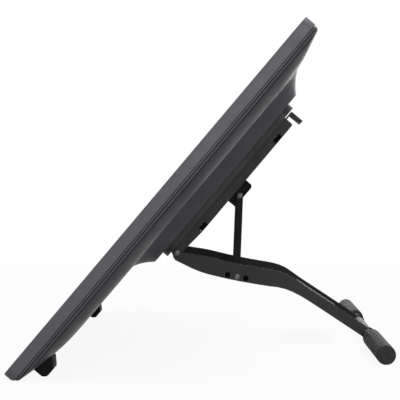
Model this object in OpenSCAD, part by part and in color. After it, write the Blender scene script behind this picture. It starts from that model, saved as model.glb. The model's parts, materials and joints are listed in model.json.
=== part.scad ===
// Pen display (graphics tablet with a screen) on a fold-out stand, in millimetres.
// X is the width, Y runs rearward, Z is up. The floor is z = 0 under the object's middle.
// U runs up the screen from its lower edge, V runs from the screen's face to the back.

/* [Display slab] */
// width of the display
body_w = 570; // [560:1:600]
// height of the display along the screen
body_h = 337.6; // [332:0.2:350]
// plan radius of the display's corners
corner_r = 8; // [6:0.5:12]
// depth of the front frame's outer wall
frame_v = 8.9; // [8.4:0.1:9.4]
// height of each seam groove
seam_h = 0.7; // [0.5:0.05:0.8]
// depth of each seam groove into the wall
seam_in = 1.4; // [1:0.1:1.8]
// thickness of the middle frame's plate
mid_t = 0.8; // [0.6:0.1:1]
// width of the frame's rim round the glass
rim_w = 1.6; // [1.2:0.1:3]
// thickness of the cover glass
glass_t = 1.8; // [1.2:0.1:2]
// thickness of the ledge under the glass
ledge_t = 1.4; // [1:0.1:1.6]
// width of the ledge under the glass
ledge_w = 6; // [4:0.5:7]
// thickness of the frame's wall under the ledge
frame_wall = 3; // [2.4:0.1:4]
// distance from the display's sides to the liquid crystal panel
panel_side = 30; // [25:0.5:45]
// distance from the display's upper and lower edges to the panel
panel_edge = 19; // [17.5:0.5:28]
// thickness of the panel
panel_t = 4.2; // [3.5:0.1:4.6]
// thickness of the backlight tray
tray_t = 1.8; // [1.4:0.1:2]
// clearance of parts that lie beside each other
fit = 0.3; // [0.2:0.05:0.4]

/* [Rear cover] */
// height of the cover's lip at the sides
lip_h = 1.7; // [1.4:0.1:2.4]
// rise of the crowned back from lip to flat
crown_h = 7.7; // [6:0.1:9]
// run of the crown at the two sides
crown_side = 33; // [30:1:50]
// run of the crown at the lower edge
crown_low = 44; // [40:1:60]
// run of the crown at the upper edge
crown_top = 42; // [38:1:50]
// draw-in of the lip at the lower edge
lip_low = 9.5; // [8:0.5:11]
// draw-in of the lip at the upper edge
lip_top = 2.2; // [2:0.1:4]
// draw-in of the cover's lower edge at the seam
cover_low = 3; // [2:0.1:4]
// thickness of the cover's wall
wall = 2.2; // [1.8:0.1:2.6]
// half width of the raised middle
bulge_x = 150; // [140:1:170]
// height of the raised middle along the display
bulge_len = 176; // [174:0.5:182]
// rise of the raised middle's centre above the display's centre
bulge_up = 41.6; // [39:0.2:43]
// height of the raised middle above the flat back
bulge_h = 11.4; // [10:0.1:13]
// plan radius of the raised middle's corners
bulge_r = 24; // [18:1:30]
// radius of the hollow wall round the raised middle
cove_r = 45; // [40:1:60]

/* [Keys] */
// width of each key on the upper edge
key_w = 12; // [9:0.5:14]
// height of each key
key_h = 3; // [2.4:0.1:3.4]
// length that a key stands out of the frame
key_out = 0.7; // [0.5:0.05:0.9]
// distance between keys
key_pitch = 20; // [18:0.5:24]
// middle of the second key from the display's side
key_side = 85; // [70:1:95]

/* [Electronics] */
// width of the main board
board_w = 220; // [200:1:240]
// height of the main board
board_h = 96; // [90:1:100]
// thickness of the main board
board_t = 1.6; // [1.2:0.1:1.6]
// width of the shield can
can_w = 90; // [70:1:100]
// height of the shield can
can_h = 60; // [50:1:70]
// thickness of the shield can
can_t = 4; // [3:0.5:4]
// side length of the two windows in the middle frame
window_w = 70; // [50:1:76]
// middle of each window from the display's centre
window_x = 60; // [50:1:70]
// distance of the outer cover screws from the display's sides
screw_side = 80; // [70:1:90]
// distance of the lower cover screws from the display's lower edge
screw_low = 80; // [75:1:85]
// distance of the upper cover screws from the display's upper edge
screw_top = 75; // [70:1:80]
// half distance between the two middle cover screws
screw_mid = 70; // [60:1:80]
// distance of the middle cover screws below the raised middle
screw_drop = 51; // [45:1:55]

/* [Ports] */
// depth of the recess that the sockets open into
port_deep = 14; // [10:0.5:16]
// length of the recess
port_len = 62; // [58:1:70]
// distance between the sockets
port_pitch = 19; // [18:0.5:20]

/* [Stand base] */
// half width of the raised pad
pad_x = 105; // [90:1:120]
// step from the raised middle's lower edge to the pad
pad_low = 7.9; // [6:0.1:9]
// step from the raised middle's upper edge to the pad
pad_top = 8.1; // [6:0.1:11]
// thickness of the pad
pad_t = 5.2; // [4:0.1:5.4]
// spacing of the four mount screws
screw_sp = 100; // [75:1:102]
// half width of the stand's channel
chan_x = 57; // [56:0.5:60]
// depth of the channel
chan_h = 9.4; // [9:0.1:10]
// thickness of the channel's floor
chan_floor = 1.6; // [1.2:0.1:1.8]
// thickness of the channel's side walls
chan_wall = 2; // [1.6:0.1:2.4]
// step from the pad's upper edge to the channel's end
chan_top = 9; // [7:0.5:11]
// distance from the hinge to where the channel's back edge starts to slope
slope_len = 26.6; // [22.6:0.2:26.6]
// length of each clip notch in the channel's walls
clip_len = 8; // [6:0.5:9]
// depth of each clip notch
clip_h = 4.2; // [3:0.1:4.5]
// recess of the clips in the channel's walls
clip_in = 1; // [0.6:0.1:1.4]
// distance from the hinge to the middle of the lower clip notches
clip_low = 31.1; // [31.1:0.1:32.6]
// distance from the channel's end to the middle of the upper clip notches
clip_top = 17.5; // [15:0.5:20]
// thickness of the channel's cover plate
lid_t = 1.4; // [1.2:0.1:1.6]
// place across of the toothed rails' inner sides
rail_x = 33; // [32.5:0.5:36]
// width of a toothed rail
rail_w = 7; // [5:0.5:8]
// length of the rails and lever arms below the carriage's pin
rail_low = 30; // [28:0.5:32]
// pitch of the rails' teeth
tooth = 4; // [3.6:0.1:4.2]
// half width of the slot that the carriage runs in
slot_x = 24.5; // [24:0.25:26]
// length of the slot below the carriage's pin
slot_low = 32; // [30:1:34]
// length of the slot
slot_len = 98; // [90:1:100]

/* [Leg] */
// distance of the hinge from the pad's lower edge
hinge_up = 5.4; // [4.5:0.1:6]
// distance of the hinge behind the pad
hinge_back = 4.1; // [4.1:0.1:4.5]
// radius of the hinge pin
hinge_r = 2; // [1.6:0.1:2.2]
// distance from the hinge to the cross tube
leg_len = 175.8; // [170:0.2:182]
// thickness of the leg's side flanges
leg_t = 2; // [1.6:0.1:2.4]
// depth of the flanges in the upper arm
arm_d = 14.7; // [14.2:0.1:15.4]
// depth of the flanges in the lower arm
toe_d = 9; // [8.6:0.1:9.6]
// place along the leg where its two straight runs would meet
bend_s = 93.4; // [92:0.2:95]
// height of that point above the line from hinge to tube
bend_h = 15.5; // [15:0.1:16]
// drop of the upper arm's middle below the hinge
heel_h = 2.5; // [2:0.1:3]
// roundness of the bend
bend_round = 2; // [1.2:0.1:2.6]
// place along the leg where the upper arm starts to narrow
taper_s = 78; // [74:0.5:82]
// length over which it narrows to the lower arm
taper_len = 38; // [34:0.5:44]
// length over which the leg widens from its hinge
heel_len = 30; // [26:0.5:36]
// sag of the upper arm between hinge and bend
arm_sag = 2.9; // [2:0.1:3.2]
// gap between the channel's walls and the flanges
leg_gap = 1; // [0.8:0.1:1.4]
// thickness of the plates that join the flanges
web_t = 2; // [1.6:0.1:2.2]
// start of the lower joining plate along the leg
web_s = 108.5; // [108:0.5:110]
// length of the lower joining plate
web_len = 40.5; // [38:0.5:42.5]
// depth of the lower joining plate under the flanges' upper edges
web_drop = 2.4; // [2:0.1:4]
// radius of the cross tube
tube_r = 4.5; // [4:0.1:4.8]
// half length of the cross tube
tube_x = 222; // [210:1:235]
// radius of the rubber sleeves
sleeve_r = 7.5; // [7.2:0.05:7.9]
// length of each rubber sleeve
sleeve_len = 133; // [120:1:140]
// thickness of a sleeve's end wall
sleeve_end = 3; // [2:0.1:4]
// depth of the flats worn on the feet and sleeves
flat_d = 0.3; // [0.2:0.05:0.4]
// running clearance of pins in their bores
run = 0.05; // [0.03:0.01:0.08]
// thickness of the pins' heads
head_t = 1.2; // [1:0.1:1.4]
// radius of the pins' heads
head_r = 2.9; // [2.8:0.1:3.2]

/* [Strut] */
// distance between the strut's two pivots
strut_len = 67.7; // [66:0.1:70]
// place of the lower pivot along the leg
pivot_s = 54.5; // [53:0.1:56]
// height of the lower pivot above the leg's line
pivot_h = 1.1; // [0.9:0.1:1.6]
// depth of the strut's side plates
strut_d = 6.4; // [5.6:0.1:6.6]
// thickness of the strut's plates
strut_t = 2.2; // [1.8:0.1:2.4]
// step outward of the side plates below the neck
strut_step = 4; // [3:0.1:5]
// radius of the strut's pivot pins
pivot_r = 2; // [1.6:0.1:2.1]
// place along the leg of the spare holes either side of the lower pivot
spare_s = 7.6; // [7:0.1:8.4]
// radius of the plugs in the spare holes
plug_r = 2.4; // [2:0.1:2.6]

/* [Carriage] */
// distance of the carriage's pivot behind the channel
track_back = 4.8; // [4.5:0.1:5.1]
// half width of the carriage
car_x = 18; // [16:0.5:18.5]
// length of the carriage below its pivot
car_low = 10; // [9:0.5:11]
// length of the carriage above its pivot
car_up = 13.8; // [12:0.2:14]
// height of the carriage behind its pivot
car_back = 3.7; // [3.2:0.1:3.8]
// height of the carriage in front of its pivot
car_in = 6.6; // [5:0.1:7]

/* [Release lever] */
// half width of the lever's tab
tab_x = 15; // [11:0.5:16]
// half width of the lever's crossbar
lever_x = 31; // [29:0.5:32]
// width of the lever's arms
lever_arm = 5; // [4:0.5:5]
// thickness of the lever's plate
lever_t = 1.2; // [1:0.1:1.4]
// height of the lever's tab
tab_h = 12.6; // [9:0.2:13]
// thickness of the lever's tab
tab_t = 3.6; // [3:0.1:4]
// thickness of the channel's end wall
end_wall = 1.6; // [1.4:0.1:2]
// gap between the channel's end and the tab
tab_gap = 6; // [5.6:0.2:7]
// travel of the lever
lever_go = 5; // [4:0.5:5]

/* [Feet] */
// middle of each rubber foot from the display's side
foot_side = 39; // [35:1:55]
// length of each foot across the display
foot_len = 30; // [20:1:36]
// distance of each foot from the display's lower edge
foot_low = 13.7; // [12.5:0.1:14.5]
// length of each foot up the display
foot_h = 15.6; // [14:0.1:19]
// distance of the foot's flat behind the cover's flat
foot_back = 4.5; // [3.6:0.1:5.2]
// radius of the foot's lower corner
foot_r = 4.2; // [3.4:0.1:4.6]

/* [Pose] */
// angle of the screen from the floor
tilt = 48.7; // [46:0.1:50]

/* [Hidden] */
$fn = 64;
cs = 6;
eps = 0.01;
mid_v = frame_v + seam_h;
mid_back = mid_v + mid_t;
cover_v = mid_back + seam_h;
lip_v = cover_v + lip_h;
flat_v = lip_v + crown_h;
bulge_v = flat_v + bulge_h;
pad_v = bulge_v + pad_t;
chan_v = pad_v + chan_h;
floor_v = pad_v + chan_floor;
panel_v = glass_t + panel_t;
tray_v = panel_v + tray_t;
arm_in = chan_x + leg_gap;
arm_out = arm_in + leg_t;
panel_w = body_w - 2 * panel_side;
panel_h = body_h - 2 * panel_edge;
key_x = body_w / 2 - key_side;
foot_x = body_w / 2 - foot_side;
foot_u0 = foot_low;
foot_u1 = foot_low + foot_h;
foot_v = flat_v + foot_back;
bulge_u0 = body_h / 2 + bulge_up - bulge_len / 2;
bulge_u1 = bulge_u0 + bulge_len;
pad_u0 = bulge_u0 + pad_low;
pad_u1 = bulge_u1 - pad_top;
chan_u1 = pad_u1 - chan_top;
hinge_u = pad_u0 + hinge_up;
hinge_v = pad_v + hinge_back;
chan_slope_u = hinge_u + slope_len;
clip_u0 = hinge_u + clip_low;
clip_u1 = chan_u1 - clip_top;
track_v = chan_v + track_back;
pad_mid = (pad_u0 + pad_u1) / 2;
board_u = pad_mid;
board_v = bulge_v - wall - 7.2;
wall_x = bulge_x - 4;
recess_x = wall_x;
function cy(u, v) = u * cos(tilt) + v * sin(tilt);
function cz(u, v) = u * sin(tilt) - v * cos(tilt);
z0 = foot_r - flat_d - cz(foot_u0 + foot_r, foot_v - foot_r);
hinge_z = z0 + cz(hinge_u, hinge_v);
leg_drop = asin((hinge_z - sleeve_r + flat_d) / leg_len);
y0 = -(cy(hinge_u, hinge_v) + leg_len * cos(leg_drop) + sleeve_r) / 2;
hinge_y = y0 + cy(hinge_u, hinge_v);
pivot_y = hinge_y + pivot_s * cos(leg_drop) + pivot_h * sin(leg_drop);
pivot_z = hinge_z - pivot_s * sin(leg_drop) + pivot_h * cos(leg_drop);
pivot_u = (pivot_y - y0) * cos(tilt) + (pivot_z - z0) * sin(tilt);
pivot_v = (pivot_y - y0) * sin(tilt) - (pivot_z - z0) * cos(tilt);
car_u = pivot_u + sqrt(pow(strut_len, 2) - pow(pivot_v - track_v, 2));
car_y = y0 + cy(car_u, track_v);
car_z = z0 + cz(car_u, track_v);
strut_a = atan2(pivot_z - car_z, pivot_y - car_y);
arm_k = (bend_h + heel_h) / bend_s;
toe_k = -bend_h / (leg_len - bend_s);
toe_a = atan(toe_k);
function smooth(a, b, s) = let (t = max(0, min(1, (s - a) / (b - a)))) t * t * (3 - 2 * t);
function leg_mid(s) = bend_h + (arm_k + toe_k) / 2 * (s - bend_s)
  - sqrt(pow((arm_k - toe_k) / 2 * (s - bend_s), 2) + bend_round * bend_round)
  - 4 * arm_sag * max(0, s / bend_s * (1 - s / bend_s));
function leg_d(s) = (arm_d + (toe_d - arm_d) * smooth(taper_s, taper_s + taper_len, s))
  * (0.5 + 0.5 * smooth(-0.18 * heel_len, heel_len, s));
port_n = 3;

// places a piece drawn flat, screen up, on the tilted display
module display() { translate([0, y0, z0]) rotate([tilt, 0, 0]) children(); }
// places a piece drawn along the leg's line from the hinge
module on_leg() { translate([0, hinge_y, hinge_z]) rotate([-leg_drop, 0, 0]) children(); }
// places a piece drawn along the strut's line from its upper pivot
module on_strut() { translate([0, car_y, car_z]) rotate([strut_a, 0, 0]) children(); }
// extrudes an outline in X and U between two depths
module plan(v0, v1) { translate([0, 0, -v1]) linear_extrude(v1 - v0) children(); }
// extrudes an outline in U and V between two widths
module side(x0, x1) { translate([x1, 0, 0]) rotate([-90, 0, 90]) linear_extrude(x1 - x0) children(); }
// extrudes an outline in Y and Z between two widths
module yz(x0, x1) { translate([x0, 0, 0]) rotate([90, 0, 90]) linear_extrude(x1 - x0) children(); }
// a round bar along X
module bar(r, x0, x1) { translate([x0, 0, 0]) rotate([0, 90, 0]) cylinder(r = r, h = x1 - x0); }
// rectangle with round corners, drawn in by a distance on every side
module rr(w, u0, u1, r, d = 0) {
  q = max(r - d, 0.5);
  translate([-w / 2 + d + q, u0 + d]) square([w - 2 * d - 2 * q, u1 - u0 - 2 * d]);
  translate([-w / 2 + d, u0 + d + q]) square([w - 2 * d, u1 - u0 - 2 * d - 2 * q]);
  for (sx = [-1, 1], u = [u0 + d + q, u1 - d - q]) translate([sx * (w / 2 - d - q), u]) circle(q);
}
// one ring of points of a rounded rectangle at a depth
function ring(xh, u0, u1, r, v) = [for (q = [0:3]) for (k = [0:cs])
  let (a = q * 90 + k * 90 / cs, px = (q == 0 || q == 3) ? xh - r : r - xh,
       pu = q < 2 ? u1 - r : u0 + r) [px + r * cos(a), pu + r * sin(a), -v]];
// a solid through a stack of rings, the first one in front
module loft(rings) {
  n = len(rings[0]);
  m = len(rings);
  polyhedron(points = [for (g = rings) for (p = g) p], faces = concat(
    [[for (j = [n - 1:-1:0]) j]],
    [for (i = [0:m - 2]) for (j = [0:n - 1]) let (k = (j + 1) % n)
      [i * n + j, i * n + k, (i + 1) * n + k]],
    [for (i = [0:m - 2]) for (j = [0:n - 1]) let (k = (j + 1) % n)
      [i * n + j, (i + 1) * n + k, (i + 1) * n + j]],
    [[for (j = [0:n - 1]) (m - 1) * n + j]]), convexity = 6);
}
// one ring of the crowned back; t runs from the lip to the flat, d draws it in
function crown(t, d) = ring(body_w / 2 - 0.6 - crown_side * t - d, lip_low + crown_low * t + d,
  body_h - lip_top - crown_top * t - d, corner_r + 20 * t, lip_v + crown_h * sin(90 * t) - d);
// the crowned back as a solid
module crown_solid(d = 0) {
  steps = 6;
  first = d > 0 ? ring(body_w / 2 - 0.6 - d, lip_low + d, body_h - lip_top - d, corner_r, frame_v)
    : ring(body_w / 2 - 0.3, cover_low, body_h - 0.3, corner_r, cover_v);
  loft(concat([first], [for (k = [0:steps]) crown(k / steps, d)]));
}
// one ring of the raised middle; a is the slope of its hollow wall there
function cove(a, d) = let (r = cove_r * (sin(50) - sin(a)), drop = cove_r * (cos(a) - cos(50)))
  ring(bulge_x + r - d, bulge_u0 - r + d, bulge_u1 + r - d, bulge_r + r - d, bulge_v - drop - d);
// the raised middle as a solid
module bulge_solid(d = 0) {
  r30 = cove_r * (sin(50) - sin(30));
  drop30 = cove_r * (cos(30) - cos(50));
  drop_end = bulge_h + 6.4;
  re = r30 + (drop_end - drop30) / tan(30);
  loft(concat([ring(bulge_x + re - d, bulge_u0 - re + d, bulge_u1 + re - d, bulge_r + re - d,
    bulge_v - drop_end - d)], [for (k = [0:4]) cove(30 + 5 * k, d)]));
}
module cover_solid(d = 0) { crown_solid(d); bulge_solid(d); }

screw_x = body_w / 2 - screw_side;
screw_at = concat([for (sx = [-1, 1], u = [screw_low, body_h - screw_top]) [sx * screw_x, u]],
  [for (sx = [-1, 1]) [sx * screw_mid, bulge_u0 - screw_drop]]);
mount_at = [for (sx = [-1, 1], su = [-1, 1]) [sx * screw_sp / 2, pad_mid + su * screw_sp / 2]];
post_at = [for (sx = [-1, 1], su = [-1, 1])
  [sx * (board_w / 2 - 8), board_u + su * (board_h / 2 - 6)]];
screw_r = 1.25;
screw_head = 2.4;
mount_r = 2;
mount_head = 3.6;
boss_r = 3.4;
port_x = -wall_x;
port_v = board_v + board_t + 2.65;
function port_at(i) = board_u + (i - 1) * port_pitch;
hdmi_w = 15;
hdmi_h = 5;
usb_w = 9;
usb_h = 3.3;
jack_w = 9.5;
jack_h = 5.2;

// what lies above the surface that the part stands on
module standing() {
  difference() {
    children();
    translate([-body_w, -body_w, -10]) cube([2 * body_w, 2 * body_w, 10]);
  }
}

module front_glass() {
  color([0.03, 0.03, 0.035]) display() plan(0, glass_t) rr(body_w, 0, body_h, corner_r, rim_w + fit / 2);
}
module front_frame() {
  color([0.30, 0.30, 0.33]) standing() display() difference() {
    union() {
      plan(0, frame_v) rr(body_w, 0, body_h, corner_r);
      plan(frame_v - eps, mid_v) rr(body_w, 0, body_h, corner_r, seam_in);
    }
    plan(-1, glass_t) rr(body_w, 0, body_h, corner_r, rim_w);
    plan(glass_t - eps, glass_t + ledge_t + eps) rr(body_w, 0, body_h, corner_r, rim_w + ledge_w);
    plan(glass_t + ledge_t, mid_v + 1) rr(body_w, 0, body_h, corner_r, frame_wall);
    for (i = [0:3]) translate([key_at(i), body_h, -key_v])
      cube([key_w + 2 * fit, 3 * frame_wall, key_h + 2 * fit], center = true);
  }
}
module lcd_panel() {
  color([0.10, 0.10, 0.11]) display() plan(glass_t, panel_v)
    rr(panel_w, (body_h - panel_h) / 2, (body_h + panel_h) / 2, 2);
}
module backlight_tray() {
  color([0.72, 0.73, 0.74]) display() plan(panel_v, tray_v)
    rr(panel_w, (body_h - panel_h) / 2, (body_h + panel_h) / 2, 2);
}
module digitizer_board() {
  color([0.10, 0.28, 0.18]) display() plan(tray_v, mid_v)
    rr(panel_w - 6, (body_h - panel_h) / 2 + 3, (body_h + panel_h) / 2 - 3, 2);
}
module mid_frame() {
  color([0.26, 0.26, 0.29]) standing() display() difference() {
    plan(mid_v, mid_back) rr(body_w, 0, body_h, corner_r, 0.3);
    for (sx = [-1, 1]) translate([sx * window_x, board_u, 0]) plan(mid_v - 1, mid_back + 1)
      rr(window_w, -window_w / 2 - 5, window_w / 2 + 5, 8);
    for (p = screw_at) translate([p[0], p[1], -mid_back - 1]) cylinder(r = screw_r + run, h = mid_t + 2);
  }
}
module rear_cover() {
  color([0.22, 0.22, 0.25]) standing() display() difference() {
    union() {
      difference() {
        union() {
          cover_solid();
          plan(mid_back, cover_v + eps) rr(body_w, 0, body_h, corner_r, seam_in);
        }
        cover_solid(wall);
      }
      intersection() {
        bulge_solid();
        translate([-wall_x - 6, board_u - port_len / 2 - wall, -bulge_v])
          cube([6 + wall, port_len + 2 * wall, bulge_v - board_v + 3]);
      }
      for (p = screw_at) translate([p[0], p[1], -flat_v + wall / 2])
        cylinder(r = boss_r, h = flat_v - wall / 2 - mid_back);
      for (p = post_at) translate([p[0], p[1], -bulge_v + wall / 2])
        cylinder(r = boss_r, h = bulge_v - wall / 2 - board_v - board_t);
      for (p = mount_at) translate([p[0], p[1], -bulge_v + wall / 2])
        cylinder(r = boss_r + 1.6, h = 4);
    }
    translate([-wall_x - 40, board_u - port_len / 2, -bulge_v + wall])
      cube([40, port_len, bulge_v - wall - flat_v - 1]);
    translate([port_x, port_at(0), -port_v]) cube([20, hdmi_w + fit, hdmi_h + fit], center = true);
    translate([port_x, port_at(1), -port_v]) cube([20, usb_w + fit, usb_h + fit], center = true);
    translate([port_x, port_at(2), -port_v]) cube([20, jack_w + fit, jack_h + fit], center = true);
    for (p = screw_at) translate([p[0], p[1], -flat_v - 1]) {
      cylinder(r = screw_r + run, h = flat_v);
      cylinder(r = screw_head + fit, h = 3.2);
    }
    for (p = mount_at) translate([p[0], p[1], -bulge_v - 1]) cylinder(r = mount_r + run, h = 12);
  }
}
module main_board() {
  color([0.08, 0.30, 0.16]) display()
    translate([-wall_x + wall + 1, board_u - board_h / 2, -board_v - board_t])
    cube([wall_x - wall - 1 + board_w / 2, board_h, board_t]);
}
module shield_can() {
  color([0.75, 0.76, 0.77]) display() translate([-20, board_u - can_h / 2, -board_v])
    cube([can_w, can_h, can_t]);
}
// a metal socket shell with an open mouth at the port wall
module socket(i, w, h, t, deep) {
  translate([-wall_x + 0.4, port_at(i) - w / 2, -port_v - h / 2]) difference() {
    cube([deep, w, h]);
    translate([-1, t, t]) cube([deep - 1, w - 2 * t, h - 2 * t]);
  }
}
module hdmi_port() {
  color([0.70, 0.70, 0.70]) display() {
    socket(0, hdmi_w, hdmi_h, 0.5, 12);
    translate([-wall_x + 3, port_at(0) - 5, -port_v - 0.5]) cube([8.6, 10, 1]);
    translate([-wall_x + 4, port_at(0) - hdmi_w / 2, -board_v - board_t - (port_v - board_v - board_t)])
      cube([8, 1, port_v - board_v - board_t]);
    translate([-wall_x + 4, port_at(0) + hdmi_w / 2 - 1, -port_v]) cube([8, 1, port_v - board_v - board_t]);
  }
}
module usb_port() {
  color([0.70, 0.70, 0.70]) display() {
    socket(1, usb_w, usb_h, 0.4, 9);
    translate([-wall_x + 2, port_at(1) - 3.4, -port_v - 0.35]) cube([7, 6.8, 0.7]);
    for (s = [-1, 1]) translate([-wall_x + 4, port_at(1) + s * (usb_w / 2 - 0.5) - 0.5, -port_v])
      cube([4, 1, port_v - board_v - board_t]);
  }
}
module power_jack() {
  color([0.06, 0.06, 0.065]) display() {
    translate([-wall_x + 0.4, port_at(2) - jack_w / 2, -port_v - jack_h / 2]) difference() {
      cube([13, jack_w, jack_h]);
      translate([-1, jack_w / 2, jack_h / 2]) rotate([0, 90, 0]) cylinder(r = 2.1, h = 10);
    }
    translate([-wall_x + 2, port_at(2), -port_v]) rotate([0, 90, 0]) cylinder(r = 0.6, h = 9);
  }
}
key_v = glass_t + ledge_t + (mid_v - glass_t - ledge_t) / 2 - 0.2;
key_in = 2.6;
function key_at(i) = -key_x + (i - 1) * key_pitch;
// one push key in the frame's upper edge
module key(i, w) {
  display() translate([key_at(i) - w / 2, body_h - frame_wall - key_in, -key_v - key_h / 2]) {
    cube([w, frame_wall + key_in + key_out, key_h]);
    translate([-1, key_in - 1 - fit, -0.7]) cube([w + 2, 1, key_h + 1.4]);
  }
}
module power_button() { color([0.36, 0.36, 0.39]) key(0, key_w); }
module menu_key() { color([0.30, 0.30, 0.33]) key(1, key_w); }
module plus_key() { color([0.30, 0.30, 0.33]) key(2, key_w); }
module minus_key() { color([0.30, 0.30, 0.33]) key(3, key_w); }
module key_board() {
  color([0.08, 0.30, 0.16]) display()
    translate([-key_x - 1.6 * key_pitch, body_h - frame_wall - key_in - 2.2, -mid_v])
      cube([4.2 * key_pitch, 1.2, mid_v - glass_t - ledge_t]);
}
module cover_screws() {
  color([0.12, 0.12, 0.13]) display() for (p = screw_at) translate([p[0], p[1], -flat_v + 0.6]) {
    cylinder(r = screw_r, h = flat_v - 0.6 - mid_v);
    difference() {
      cylinder(r = screw_head, h = 1.6);
      translate([-0.4, -1.6, -1]) cube([0.8, 3.2, 1.6]);
      translate([-1.6, -0.4, -1]) cube([3.2, 0.8, 1.6]);
    }
  }
}
// a rubber foot with a round lower corner and a worn flat
module foot(s) {
  color([0.05, 0.05, 0.055]) standing() display() difference() {
    side(s * foot_x - foot_len / 2, s * foot_x + foot_len / 2) {
      polygon(concat([[foot_u0, cover_v + 1]], [for (k = [0:12]) [foot_u0 + foot_r - foot_r * cos(7.5 * k),
        foot_v - foot_r + foot_r * sin(7.5 * k)]],
        [[foot_u1 - 6, foot_v], [foot_u1, foot_v - 6], [foot_u1, cover_v + 1]]));
    }
    translate([0, 0, -run]) crown_solid();
  }
}
module foot_left() { foot(-1); }
module foot_right() { foot(1); }
module stand_pad() {
  color([0.13, 0.13, 0.14]) display() difference() {
    plan(bulge_v, pad_v) rr(2 * pad_x, pad_u0, pad_u1, 12);
    for (p = mount_at) translate([p[0], p[1], -pad_v - 1]) cylinder(r = mount_r + run, h = pad_t + 2);
  }
}
module mount_screws() {
  color([0.55, 0.55, 0.56]) display() for (p = mount_at) translate([p[0], p[1], -floor_v]) {
    cylinder(r = mount_r, h = floor_v - bulge_v + 5);
    translate([0, 0, -2]) difference() {
      cylinder(r = mount_head, h = 2);
      translate([-0.5, -2.2, -1]) cube([1, 4.4, 2]);
      translate([-2.2, -0.5, -1]) cube([4.4, 1, 2]);
    }
  }
}
module stand_channel() {
  color([0.14, 0.14, 0.15]) display() difference() {
    union() {
      for (s = [-1, 1]) side(s > 0 ? chan_x - chan_wall : -chan_x, s > 0 ? chan_x : chan_wall - chan_x) {
        polygon([[hinge_u - 3, pad_v], [chan_u1, pad_v], [chan_u1, chan_v - 2], [chan_u1 - 2, chan_v],
          [chan_slope_u, chan_v], [hinge_u + 2, hinge_v + 3.4], [hinge_u - 3, hinge_v + 2]]);
        translate([hinge_u, hinge_v]) circle(hinge_v - pad_v);
        translate([chan_u1 - 2, chan_v - 2]) circle(2);
      }
      plan(pad_v, floor_v) translate([-chan_x + eps, hinge_u + 8])
        square([2 * chan_x - 2 * eps, chan_u1 - hinge_u - 8]);
      plan(pad_v, chan_v - lid_t - fit) translate([-chan_x + 1, chan_u1 - end_wall])
        square([2 * chan_x - 2, end_wall]);
    }
    for (s = [-1, 1], u = [clip_u0, clip_u1]) translate([s * chan_x, u, -chan_v])
      cube([4 * chan_wall, clip_len, 2 * clip_h], center = true);
    translate([-chan_x - 5, hinge_u, -hinge_v]) bar(hinge_r + run, 0, 2 * chan_x + 10);
    translate([-tab_x - fit, chan_u1 - 5, -floor_v - lever_t - 2 * fit - 0.8])
      cube([2 * tab_x + 2 * fit, 10, lever_t + 2 * fit + 0.8]);
    for (p = mount_at) translate([p[0], p[1], -floor_v - 1]) cylinder(r = mount_r + run, h = chan_floor + 2);
  }
}
module channel_cover() {
  lid_x = chan_x - chan_wall - fit / 2;
  color([0.10, 0.10, 0.11]) display() {
    difference() {
      plan(chan_v - lid_t, chan_v) translate([-lid_x, chan_slope_u + 0.6])
        square([2 * lid_x, chan_u1 - 2.2 - chan_slope_u - 0.6]);
      translate([-slot_x, car_u - slot_low, -chan_v - 1]) cube([2 * slot_x, slot_len, lid_t + 2]);
    }
    for (s = [-1, 1], u = [clip_u0, clip_u1]) translate([s * (lid_x - 2), u - clip_len / 2 + fit, -chan_v])
      mirror([s < 0 ? 1 : 0, 0, 0]) cube([2 + chan_wall - clip_in, clip_len - 2 * fit, clip_h - fit]);
    for (s = [-1, 1]) translate([s * (slot_x + 3.5) - 1.5, car_u + 30, -chan_v])
      cube([3, 20, chan_v - floor_v - lever_t - 2 * fit]);
  }
}
// one toothed rail on the channel's floor
module rail(s) {
  n = 20;
  u0 = car_u - rail_low;
  x0 = s > 0 ? rail_x : -rail_x - rail_w;
  color([0.42, 0.42, 0.43]) display() side(x0, x0 + rail_w) polygon(concat(
    [[u0 + n * tooth, floor_v], [u0, floor_v]],
    [for (k = [0:n - 1]) for (e = [0, 1]) [u0 + (k + 0.3 * e) * tooth, floor_v + 1.8 + e * 1.4]],
    [[u0 + n * tooth, floor_v + 1.8]]));
}
module lock_rail_left() { rail(-1); }
module lock_rail_right() { rail(1); }
lever_v = floor_v + fit;
tab_u = chan_u1 + tab_gap;
bar_h = 7;
bar_u = chan_u1 - end_wall - 1.4 - lever_go - bar_h;
module release_lever() {
  color([0.16, 0.16, 0.17]) display() {
    plan(lever_v, lever_v + lever_t) {
      translate([-tab_x, bar_u + 1]) square([2 * tab_x, tab_u + tab_t - bar_u - 1]);
      translate([-lever_x, bar_u]) square([2 * lever_x, bar_h]);
      for (s = [0, 1]) mirror([s, 0]) translate([lever_x - lever_arm, car_u - rail_low])
        square([lever_arm, bar_u + 1 - car_u + rail_low]);
    }
    plan(lever_v, lever_v + tab_h) translate([-tab_x, tab_u]) square([2 * tab_x, tab_t]);
  }
}
module lever_spring() {
  color([0.62, 0.62, 0.60]) display() {
    plan(floor_v, floor_v + 3) {
      translate([-12, bar_u - 8]) square([24, 0.7]);
      for (s = [-1, 1]) translate([s * 12.6 - 0.6, bar_u - 8]) square([1.2, 7.7]);
    }
    plan(floor_v, floor_v + 0.25) translate([-12, bar_u - 12]) square([24, 4.2]);
  }
}
module carriage() {
  color([0.12, 0.12, 0.13]) display() difference() {
    side(-car_x, car_x) {
      translate([car_u - car_low, track_v - car_in]) square([car_low + car_up, car_in + car_back - 3]);
      translate([car_u - car_low, track_v - 1]) square([car_low + car_up - 3, 1 + car_back]);
      translate([car_u + car_up - 3, track_v + car_back - 3]) circle(3);
    }
    translate([0, car_u, -track_v]) bar(pivot_r + run, -car_x - 1, car_x + 1);
  }
}
neck_x = car_x + 0.4;
low_x = neck_x + strut_step;
pin_x = neck_x + strut_t;
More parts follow.
